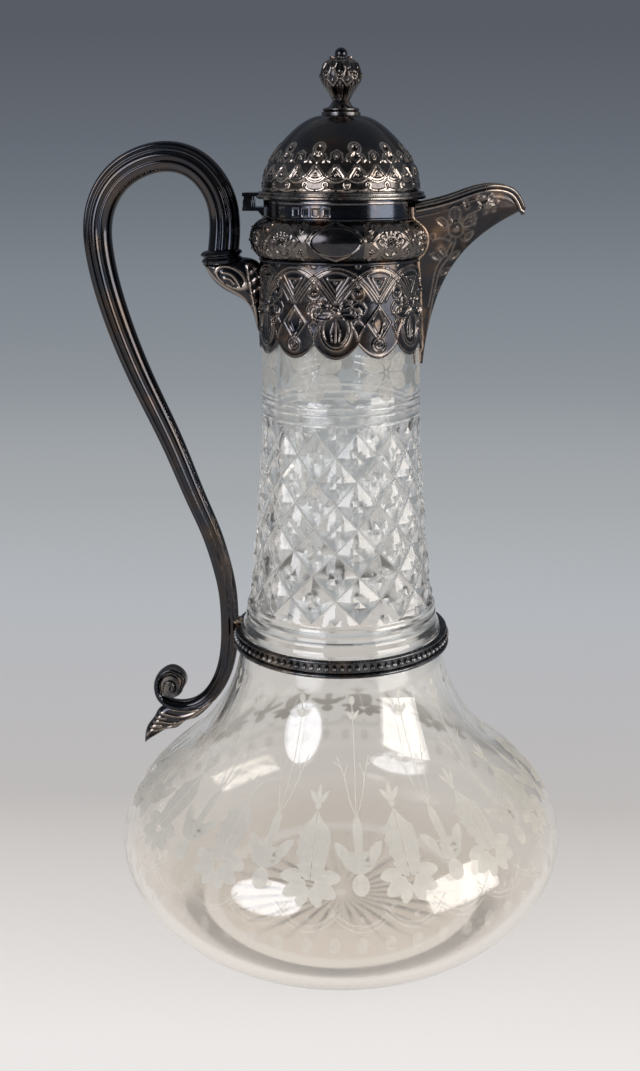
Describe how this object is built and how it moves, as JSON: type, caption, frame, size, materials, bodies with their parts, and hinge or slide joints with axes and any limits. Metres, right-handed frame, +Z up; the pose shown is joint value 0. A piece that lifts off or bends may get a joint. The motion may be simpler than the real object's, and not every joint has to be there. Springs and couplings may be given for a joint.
{
  "type": "claret jug",
  "caption": "Cut-glass claret jug with a squat bulb and tall tapering neck, a silver collar with beak spout, a domed hinged lid and a swan-necked scroll handle.",
  "frame": {"origin": "centre of the foot, on the surface the jug stands on", "axes": "+Z up along the jug's axis, +X towards the spout, -X towards the handle and the lid's hinge"},
  "size_m": [0.1571, 0.1518, 0.2905],
  "materials": {
    "cut_glass": "polished, clear",
    "plaster": "matt",
    "tarnished_silver": "polished with dark tarnish",
    "cast_silver": "polished, reeded, dark tarnish",
    "plain_brass": "plain"
  },
  "bodies": {
    "jug": {"glass_body": "cut_glass", "cement_bed": "plaster", "collar_apron": "tarnished_silver", "collar_lower_wire": "tarnished_silver", "collar_bulge": "tarnished_silver", "collar_upper_wire": "tarnished_silver", "collar_rim_band": "tarnished_silver", "spout_shell": "tarnished_silver", "spout_rim_wire": "tarnished_silver", "hinge_collar_leaf": "cast_silver", "hinge_pin": "cast_silver", "neck_ring_band": "tarnished_silver", "neck_ring_beads": "tarnished_silver", "handle_loop": "cast_silver", "handle_socket": "cast_silver", "handle_bracket": "cast_silver", "handle_volute": "cast_silver", "handle_leaf": "cast_silver", "ring_lug": "cast_silver"},
    "lid": {"lid_flange": "tarnished_silver", "lid_dome": "tarnished_silver", "lid_bezel": "tarnished_silver", "finial_foot": "cast_silver", "finial_bud": "cast_silver", "finial_bead": "cast_silver", "finial_stud": "plain_brass", "finial_washer": "plain_brass", "finial_nut": "plain_brass", "hinge_lid_leaf": "cast_silver"}
  },
  "joints": [
    {"name": "lid_hinge", "type": "hinge", "parent": "jug", "child": "lid", "pos_m": [-0.0285, 0, 0.2458], "axis": [0, -1, 0], "range_deg": [0, 60]}
  ]
}
